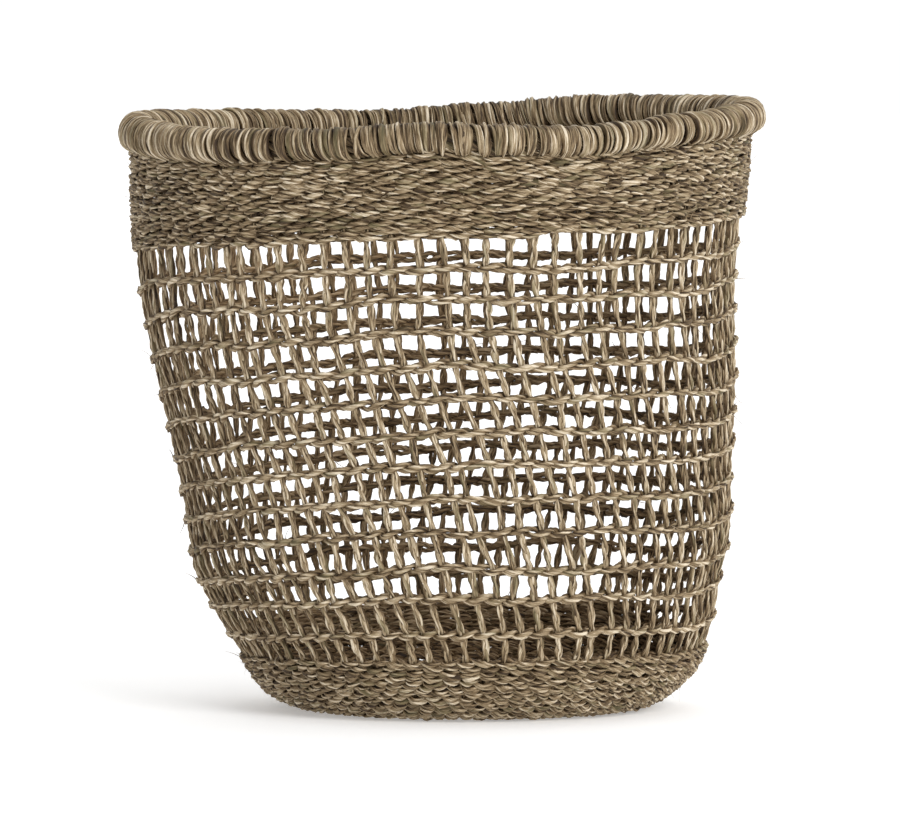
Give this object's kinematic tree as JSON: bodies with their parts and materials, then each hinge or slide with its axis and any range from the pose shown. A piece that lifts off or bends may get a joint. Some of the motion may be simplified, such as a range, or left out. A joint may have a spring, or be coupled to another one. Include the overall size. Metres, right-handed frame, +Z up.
{
  "type": "round openwork storage basket",
  "caption": "Round tapered storage basket of twined seagrass: open wall between two close bands, flat woven base and a bound rim.",
  "frame": {"origin": "middle of the basket's footprint, on the surface it stands on", "axes": "+Z up out of the open mouth, +X to the right across the widest part of the rim, -Y towards the front"},
  "size_m": [0.3994, 0.3874, 0.3784],
  "materials": {
    "twined_grass": "dry twisted seagrass cord, satin",
    "stake_grass": "dry twisted seagrass cord, satin",
    "split_binding": "fine split seagrass strands, satin",
    "coil_core": "bundled dry grass, matt"
  },
  "bodies": {
    "root": {"base_mat": "twined_grass", "lower_band": "twined_grass", "upper_band": "twined_grass", "rim_core": "coil_core", "rim_binding": "split_binding", "twined_row_01": "twined_grass", "twined_row_02": "twined_grass", "twined_row_03": "twined_grass", "twined_row_04": "twined_grass", "twined_row_05": "twined_grass", "twined_row_06": "twined_grass", "twined_row_07": "twined_grass", "twined_row_08": "twined_grass", "twined_row_09": "twined_grass", "twined_row_10": "twined_grass", "twined_row_11": "twined_grass", "twined_row_12": "twined_grass", "stake_bundle_01": "stake_grass", "stake_bundle_02": "stake_grass", "stake_bundle_03": "stake_grass", "stake_bundle_04": "stake_grass", "stake_bundle_05": "stake_grass", "stake_bundle_06": "stake_grass", "stake_bundle_07": "stake_grass", "stake_bundle_08": "stake_grass", "stake_bundle_09": "stake_grass", "stake_bundle_10": "stake_grass", "stake_bundle_11": "stake_grass", "stake_bundle_12": "stake_grass", "stake_bundle_13": "stake_grass", "stake_bundle_14": "stake_grass", "stake_bundle_15": "stake_grass", "stake_bundle_16": "stake_grass"}
  },
  "joints": []
}
